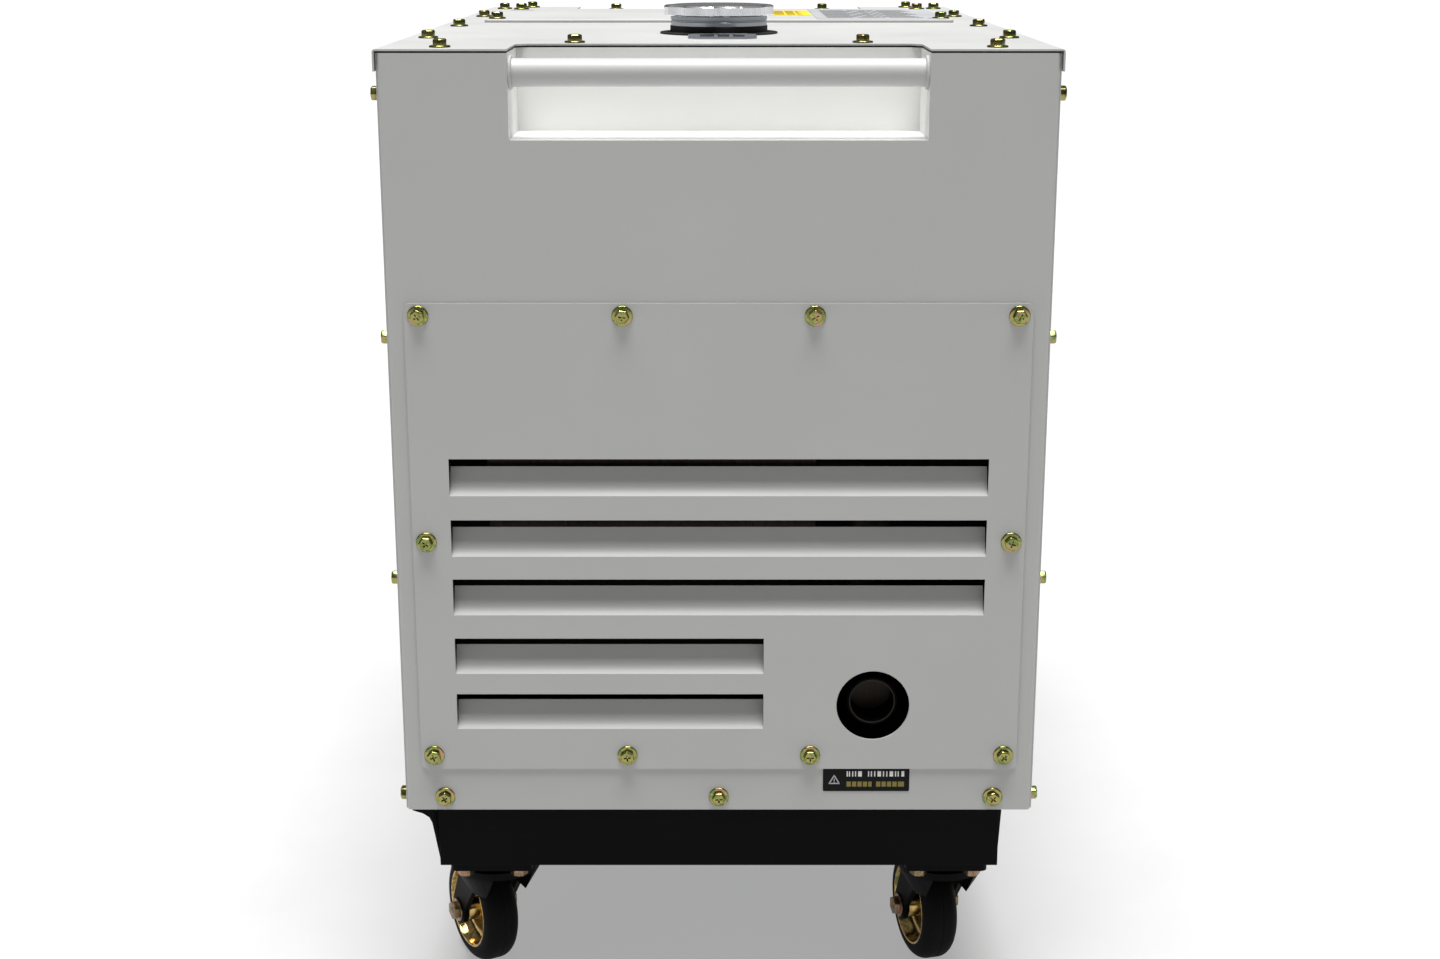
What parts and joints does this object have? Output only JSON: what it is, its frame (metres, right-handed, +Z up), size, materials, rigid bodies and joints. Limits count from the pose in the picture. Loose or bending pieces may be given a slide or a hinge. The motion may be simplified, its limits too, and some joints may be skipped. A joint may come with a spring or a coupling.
{
  "type": "engine driven welder",
  "caption": "Enclosed engine driven welder: louvred sheet-metal case with lifting tubes, roof filler cap, service door, recessed controls and swivel castors.",
  "frame": {"origin": "on the floor, under the middle of the case", "axes": "+Z up, -Y the exhaust end, +Y the control end, +X the service door's side"},
  "size_m": [0.544, 0.897, 0.8384],
  "materials": {
    "base_paint": "black powder coat, satin",
    "battery_case": "matt",
    "black_plastic": "matt",
    "black_rubber": "matt",
    "brass": "turned",
    "cap_alloy": "polished cast alloy",
    "case_paint": "light grey powder coat, fine orange peel",
    "engine_alloy": "cast",
    "engine_paint": "painted cast iron",
    "galvanised": "galvanised sheet",
    "grey_plastic": "matt",
    "hot_steel": "heat-stained",
    "red_plastic": "gloss",
    "steel": "machined",
    "tank_paint": "black, satin",
    "tray_paint": "dark grey powder coat",
    "tyre_rubber": "matt",
    "yellow_zinc": "yellow passivated zinc"
  },
  "bodies": {
    "chassis": {"air_cleaner": "black_plastic", "alternator_frame": "tank_paint", "base_cross_beams": "base_paint", "base_side_rails": "base_paint", "battery": "battery_case", "castor_bolts": "yellow_zinc", "castor_plates": "base_paint", "control_end_panel": "case_paint", "engine_block": "engine_paint", "engine_cylinder": "engine_alloy", "engine_mounts": "black_rubber", "exhaust_access_cover": "case_paint", "exhaust_end_panel": "case_paint", "fan_shroud": "tank_paint", "filler_seal_ring": "black_rubber", "floor_pan": "galvanised", "fuel_tank": "grey_plastic", "handle_pockets": "case_paint", "hinge_pins": "steel", "inner_bulkheads": "galvanised", "instrument_panel": "tray_paint", "left_side_panel": "case_paint", "lift_handles": "case_paint", "muffler": "hot_steel", "panel_bolts": "yellow_zinc", "panel_meters": "black_plastic", "power_socket": "black_plastic", "right_side_panel": "case_paint", "roof_cover": "case_paint", "roof_hatch": "case_paint", "roof_seal": "black_rubber", "weld_terminals": "brass"},
    "door": {"service_door": "case_paint"},
    "upper_latch": {"upper_latch": "black_plastic"},
    "lower_latch": {"lower_latch": "black_plastic"},
    "cap_insert": {"fuel_cap_insert": "black_plastic"},
    "cap": {"fuel_cap": "cap_alloy"},
    "rotor": {"rotor_shaft": "steel", "flywheel": "engine_alloy"},
    "current_knob": {"current_knob": "black_plastic"},
    "key": {"key_switch": "steel"},
    "breaker": {"breaker_lever": "black_plastic"},
    "estop": {"estop_button": "red_plastic"},
    "lid": {"socket_lid": "grey_plastic"},
    "front_left_swivel": {"castor_front_left_fork": "base_paint", "castor_front_left_axle": "yellow_zinc"},
    "front_left_wheel": {"castor_front_left_rim": "yellow_zinc", "castor_front_left_tyre": "tyre_rubber"},
    "front_right_swivel": {"castor_front_right_fork": "base_paint", "castor_front_right_axle": "yellow_zinc"},
    "front_right_wheel": {"castor_front_right_rim": "yellow_zinc", "castor_front_right_tyre": "tyre_rubber"},
    "rear_left_swivel": {"castor_rear_left_fork": "base_paint", "castor_rear_left_axle": "yellow_zinc"},
    "rear_left_wheel": {"castor_rear_left_rim": "yellow_zinc", "castor_rear_left_tyre": "tyre_rubber"},
    "rear_right_swivel": {"castor_rear_right_fork": "base_paint", "castor_rear_right_axle": "yellow_zinc"},
    "rear_right_wheel": {"castor_rear_right_rim": "yellow_zinc", "castor_rear_right_tyre": "tyre_rubber"}
  },
  "joints": [
    {"name": "door_hinge", "type": "hinge", "parent": "chassis", "child": "door", "pos_m": [0.269, 0.29, 0.5], "axis": [0, 0, 1], "range_deg": [0, 150]},
    {"name": "upper_latch_turn", "type": "hinge", "parent": "door", "child": "upper_latch", "pos_m": [0.2655, -0.274, 0.65], "axis": [1, 0, 0], "range_deg": [0, 90]},
    {"name": "lower_latch_turn", "type": "hinge", "parent": "door", "child": "lower_latch", "pos_m": [0.2655, -0.274, 0.35], "axis": [1, 0, 0], "range_deg": [0, 90]},
    {"name": "cap_lift", "type": "slide", "parent": "chassis", "child": "cap_insert", "axis": [0, 0, 1], "range_m": [0, 0.05]},
    {"name": "cap_turn", "type": "hinge", "parent": "cap_insert", "child": "cap", "pos_m": [0, -0.192, 0.835], "axis": [0, 0, 1], "range_deg": [0, 90]},
    {"name": "rotor_spin", "type": "hinge", "parent": "chassis", "child": "rotor", "pos_m": [0, 0, 0.34], "axis": [0, 1, 0], "continuous": true},
    {"name": "current_knob_turn", "type": "hinge", "parent": "chassis", "child": "current_knob", "pos_m": [0.108, 0.395, 0.55], "axis": [0, -1, 0], "range_deg": [-135, 135]},
    {"name": "key_turn", "type": "hinge", "parent": "chassis", "child": "key", "pos_m": [-0.045, 0.395, 0.635], "axis": [0, -1, 0], "range_deg": [0, 90]},
    {"name": "breaker_throw", "type": "hinge", "parent": "chassis", "child": "breaker", "pos_m": [-0.045, 0.401, 0.555], "axis": [-1, 0, 0], "range_deg": [0, 40]},
    {"name": "estop_press", "type": "slide", "parent": "chassis", "child": "estop", "axis": [0, -1, 0], "range_m": [0, 0.005]},
    {"name": "lid_hinge", "type": "hinge", "parent": "chassis", "child": "lid", "pos_m": [-0.14, 0.417, 0.549], "axis": [1, 0, 0], "range_deg": [0, 150]},
    {"name": "front_left_swivel", "type": "hinge", "parent": "chassis", "child": "front_left_swivel", "pos_m": [-0.1955, -0.385, 0.11], "axis": [0, 0, 1], "continuous": true},
    {"name": "front_left_roll", "type": "hinge", "parent": "front_left_swivel", "child": "front_left_wheel", "pos_m": [-0.2135, -0.35382, 0.05], "axis": [0.866, 0.5, 0], "continuous": true},
    {"name": "front_right_swivel", "type": "hinge", "parent": "chassis", "child": "front_right_swivel", "pos_m": [0.1955, -0.385, 0.11], "axis": [0, 0, 1], "continuous": true},
    {"name": "front_right_roll", "type": "hinge", "parent": "front_right_swivel", "child": "front_right_wheel", "pos_m": [0.18618, -0.35023, 0.05], "axis": [0.9659, 0.2588, 0], "continuous": true},
    {"name": "rear_left_swivel", "type": "hinge", "parent": "chassis", "child": "rear_left_swivel", "pos_m": [-0.1955, 0.385, 0.11], "axis": [0, 0, 1], "continuous": true},
    {"name": "rear_left_roll", "type": "hinge", "parent": "rear_left_swivel", "child": "rear_left_wheel", "pos_m": [-0.16601, 0.36435, 0.05], "axis": [-0.5736, -0.8192, 0], "continuous": true},
    {"name": "rear_right_swivel", "type": "hinge", "parent": "chassis", "child": "rear_right_swivel", "pos_m": [0.1955, 0.385, 0.11], "axis": [0, 0, 1], "continuous": true},
    {"name": "rear_right_roll", "type": "hinge", "parent": "rear_right_swivel", "child": "rear_right_wheel", "pos_m": [0.1775, 0.35382, 0.05], "axis": [-0.866, 0.5, 0], "continuous": true}
  ]
}
